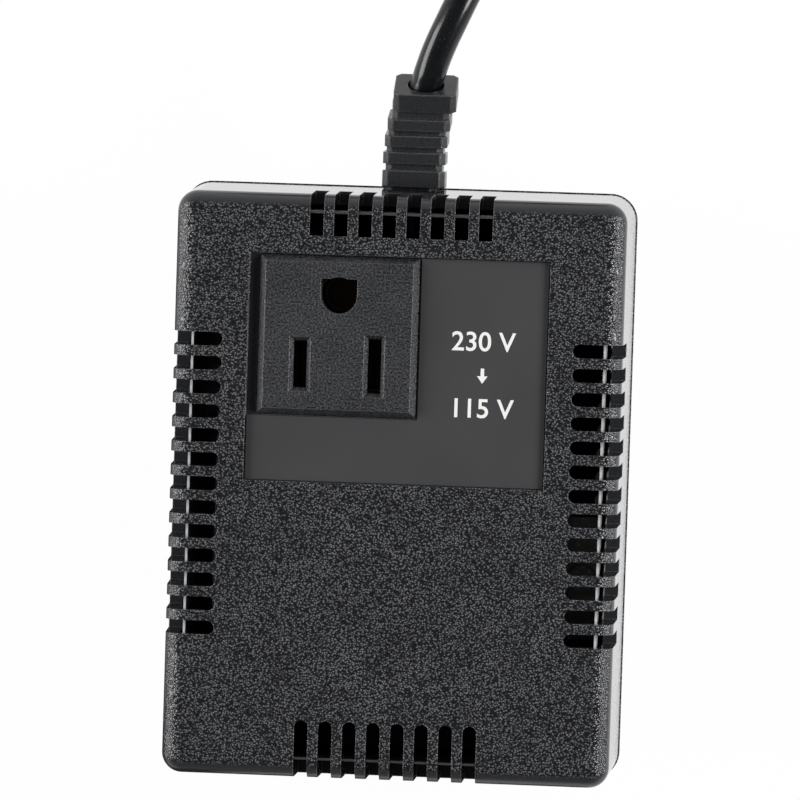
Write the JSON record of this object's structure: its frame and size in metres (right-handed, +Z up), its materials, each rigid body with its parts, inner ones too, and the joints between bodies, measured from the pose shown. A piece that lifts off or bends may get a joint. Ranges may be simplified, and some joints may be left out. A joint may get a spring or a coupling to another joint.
{
  "type": "travel voltage converter",
  "caption": "Mains voltage converter: a transformer in a two-part vented moulded case, with a grounded outlet beside a label recess on its face and a put-away power cord with its plug.",
  "frame": {"origin": "on the supporting surface, under the middle of the case (the cord left out)", "axes": "+Z up out of the outlet face, +Y along the case towards the cord, +X across the case; the case lies on its feet"},
  "size_m": [0.0794, 0.2919, 0.0576],
  "materials": {
    "textured_case": "spark-textured black moulding",
    "label_plate": "smooth matt dark grey",
    "outlet_plastic": "fine-textured black moulding",
    "fastener_steel": "zinc plated",
    "foot_rubber": "soft matt",
    "carrier_plastic": "black moulding",
    "contact_brass": "stamped strip",
    "liner_board": "pale insulating board",
    "core_steel": "stacked sheet edges",
    "frame_steel": "plated strap",
    "bobbin_plastic": "dark moulding",
    "winding_copper": "enamelled copper",
    "winding_film": "yellow film tape",
    "terminal_metal": "tinned",
    "protector_sleeve": "white sleeve",
    "lead_brown": "insulation",
    "lead_blue": "insulation",
    "lead_red": "insulation",
    "lead_white": "insulation",
    "cord_sheath": "satin black",
    "tie_plastic": "flat black band",
    "plug_plastic": "satin black moulding",
    "plug_pin_metal": "bright nickel plating"
  },
  "bodies": {
    "root": {"front_cover": "textured_case", "rear_cover": "textured_case", "rating_label": "label_plate", "outlet_face": "outlet_plastic", "housing_screws": "fastener_steel", "carrier_screws": "fastener_steel", "core_frame_screws": "fastener_steel", "rubber_feet": "foot_rubber", "contact_carrier": "carrier_plastic", "line_contact": "contact_brass", "neutral_contact": "contact_brass", "ground_contact": "contact_brass", "insulating_liner": "liner_board", "core_e_laminations": "core_steel", "core_i_laminations": "core_steel", "core_frame": "frame_steel", "bobbin": "bobbin_plastic", "winding": "winding_copper", "winding_tape": "winding_film", "terminal_pins": "terminal_metal", "thermal_protector": "protector_sleeve", "live_lead": "lead_brown", "neutral_lead": "lead_blue", "protector_lead": "lead_red", "output_line_lead": "lead_red", "output_neutral_lead": "lead_white", "cord_inner_end": "cord_sheath", "strain_relief": "cord_sheath", "cord_lead": "cord_sheath", "cord_coil": "cord_sheath", "cord_tail": "cord_sheath", "coil_tie": "tie_plastic", "plug_body": "plug_plastic", "pin_sleeves": "plug_plastic", "plug_pins": "plug_pin_metal"}
  },
  "joints": []
}
